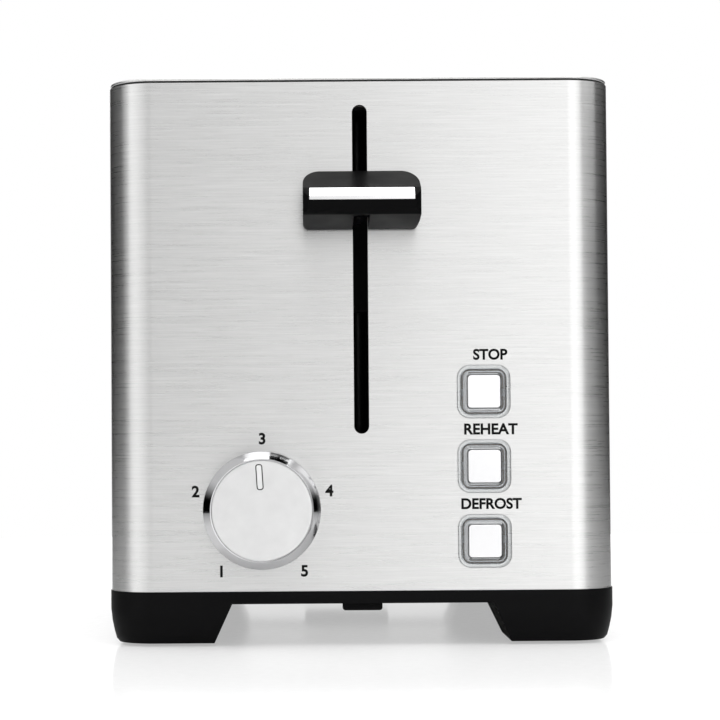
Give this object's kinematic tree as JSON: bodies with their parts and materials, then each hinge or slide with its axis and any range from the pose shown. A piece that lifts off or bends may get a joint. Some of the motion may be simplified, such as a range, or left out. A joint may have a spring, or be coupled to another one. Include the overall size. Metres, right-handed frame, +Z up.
{
  "type": "pop-up toaster",
  "caption": "Long pop-up toaster with bread slots side by side, a lever, browning dial and push buttons on one end, and a crumb tray that slides out at the rear.",
  "frame": {"origin": "centre of the whole toaster's footprint, lever and cord gland included, at the surface it stands on", "axes": "+Z up, +X to the right of someone facing the controls, +Y from the control end to the rear"},
  "size_m": [0.1784, 0.301, 0.199],
  "materials": {
    "black_plastic": "black heat-resistant moulding, satin with a fine grain",
    "black_seal": "matt black seal",
    "bright_sheet": "bright reflector sheet",
    "brushed_steel": "stainless sheet with fine horizontal brushing",
    "button_chrome": "polished metallised cap",
    "cable_grey": "grey ribbon cable",
    "chrome": "polished chrome plate",
    "circuit_board": "brown paper laminate",
    "clear_acrylic": "clear moulded acrylic",
    "component_plastic": "moulded component cases",
    "contact_copper": "copper alloy strip",
    "copper_winding": "enamelled copper wire on a black bobbin",
    "foot_rubber": "matt black rubber",
    "guard_wire": "bright plated wire",
    "heating_ribbon": "oxidised resistance ribbon",
    "heatproof_plastic": "dark glass-filled moulding",
    "lamp_lens": "clear-white lamp lens",
    "lever_plastic": "black moulding, satin top and polished nose",
    "magnet_iron": "bare iron",
    "mica": "mica board, flaky sheen",
    "plain_steel": "galvanised steel sheet",
    "satin_metal": "satin spun metal",
    "spring_steel": "bright spring steel",
    "tray_steel": "plain steel sheet, light scratches",
    "wire_sleeve": "glass-fibre sleeved wire",
    "zinc_screws": "zinc-plated steel"
  },
  "bodies": {
    "housing": {"outer_shell": "brushed_steel", "seam_strip": "plain_steel", "top_cover": "brushed_steel", "top_gasket": "black_seal", "base_frame": "black_plastic", "foot_pads": "foot_rubber", "base_screws": "zinc_screws", "front_bulkhead": "plain_steel", "rear_bulkhead": "plain_steel", "chassis_rails": "plain_steel", "top_tie_bars": "plain_steel", "side_reflectors": "bright_sheet", "centre_divider": "bright_sheet", "mica_boards_left": "mica", "mica_boards_right": "mica", "heating_ribbons_left": "heating_ribbon", "heating_ribbons_right": "heating_ribbon", "guide_rod": "guard_wire", "rod_bracket": "plain_steel", "lift_spring": "spring_steel", "magnet_core": "magnet_iron", "magnet_coil": "copper_winding", "contact_block": "heatproof_plastic", "contact_leaves": "contact_copper", "dial_bracket": "heatproof_plastic", "control_board": "circuit_board", "potentiometer": "component_plastic", "board_components": "component_plastic", "button_guide": "heatproof_plastic", "button_board": "circuit_board", "light_rings": "clear_acrylic", "tact_switches": "component_plastic", "ring_leds": "lamp_lens", "board_screws": "zinc_screws", "ribbon_cable": "cable_grey", "cord_gland": "foot_rubber", "supply_wires": "wire_sleeve"},
    "carriage": {"carriage_slider": "heatproof_plastic", "carriage_plate": "plain_steel", "lever_arm": "plain_steel", "lever_knob": "lever_plastic", "lever_trim": "chrome", "bread_rack_left": "plain_steel", "bread_rack_right": "plain_steel", "armature_plate": "magnet_iron", "contact_pusher": "heatproof_plastic"},
    "guard_left_outer": {"guard_left_outer": "guard_wire"},
    "guard_left_inner": {"guard_left_inner": "guard_wire"},
    "guard_right_inner": {"guard_right_inner": "guard_wire"},
    "guard_right_outer": {"guard_right_outer": "guard_wire"},
    "dial": {"pot_shaft": "spring_steel", "dial_hub": "heatproof_plastic", "dial_skirt": "chrome", "dial_face": "satin_metal"},
    "stop_button": {"button_stop": "button_chrome"},
    "reheat_button": {"button_reheat": "button_chrome"},
    "defrost_button": {"button_defrost": "button_chrome"},
    "tray": {"crumb_tray": "tray_steel", "tray_handle": "black_plastic", "push_tab": "black_plastic"}
  },
  "joints": [
    {"name": "lever_slide", "type": "slide", "parent": "housing", "child": "carriage", "axis": [0, 0, 1], "range_m": [-0.075, 0.022], "stiffness_N_per_m": 150, "springref_m": 0.00684, "deforming": ["lift_spring"]},
    {"name": "guard_left_outer_tilt", "type": "hinge", "parent": "housing", "child": "guard_left_outer", "pos_m": [-0.0465, 0, 0.03], "axis": [0, 1, 0], "range_deg": [-1.5, 4.5]},
    {"name": "guard_left_inner_tilt", "type": "hinge", "parent": "housing", "child": "guard_left_inner", "pos_m": [-0.0155, 0, 0.03], "axis": [0, 1, 0], "range_deg": [-4.5, 1.5]},
    {"name": "guard_right_outer_tilt", "type": "hinge", "parent": "housing", "child": "guard_right_outer", "pos_m": [0.0465, 0, 0.03], "axis": [0, 1, 0], "range_deg": [-4.5, 1.5]},
    {"name": "guard_right_inner_tilt", "type": "hinge", "parent": "housing", "child": "guard_right_inner", "pos_m": [0.0155, 0, 0.03], "axis": [0, 1, 0], "range_deg": [-1.5, 4.5]},
    {"name": "dial_turn", "type": "hinge", "parent": "housing", "child": "dial", "pos_m": [-0.0348, -0.1235, 0.0477], "axis": [0, 1, 0], "range_deg": [-142.5, 149.5]},
    {"name": "stop_press", "type": "slide", "parent": "housing", "child": "stop_button", "axis": [0, 1, 0], "range_m": [0, 0.0015], "stiffness_N_per_m": 600, "springref_m": -0.001},
    {"name": "reheat_press", "type": "slide", "parent": "housing", "child": "reheat_button", "axis": [0, 1, 0], "range_m": [0, 0.0015], "stiffness_N_per_m": 600, "springref_m": -0.001},
    {"name": "defrost_press", "type": "slide", "parent": "housing", "child": "defrost_button", "axis": [0, 1, 0], "range_m": [0, 0.0015], "stiffness_N_per_m": 600, "springref_m": -0.001},
    {"name": "tray_slide", "type": "slide", "parent": "housing", "child": "tray", "axis": [0, 1, 0], "range_m": [0, 0.236]}
  ],
  "couplings": [
    {"joint": "guard_left_outer_tilt", "follows": "lever_slide", "rad_per_m": -0.93},
    {"joint": "guard_left_inner_tilt", "follows": "lever_slide", "rad_per_m": 0.93},
    {"joint": "guard_right_outer_tilt", "follows": "lever_slide", "rad_per_m": 0.93},
    {"joint": "guard_right_inner_tilt", "follows": "lever_slide", "rad_per_m": -0.93}
  ]
}
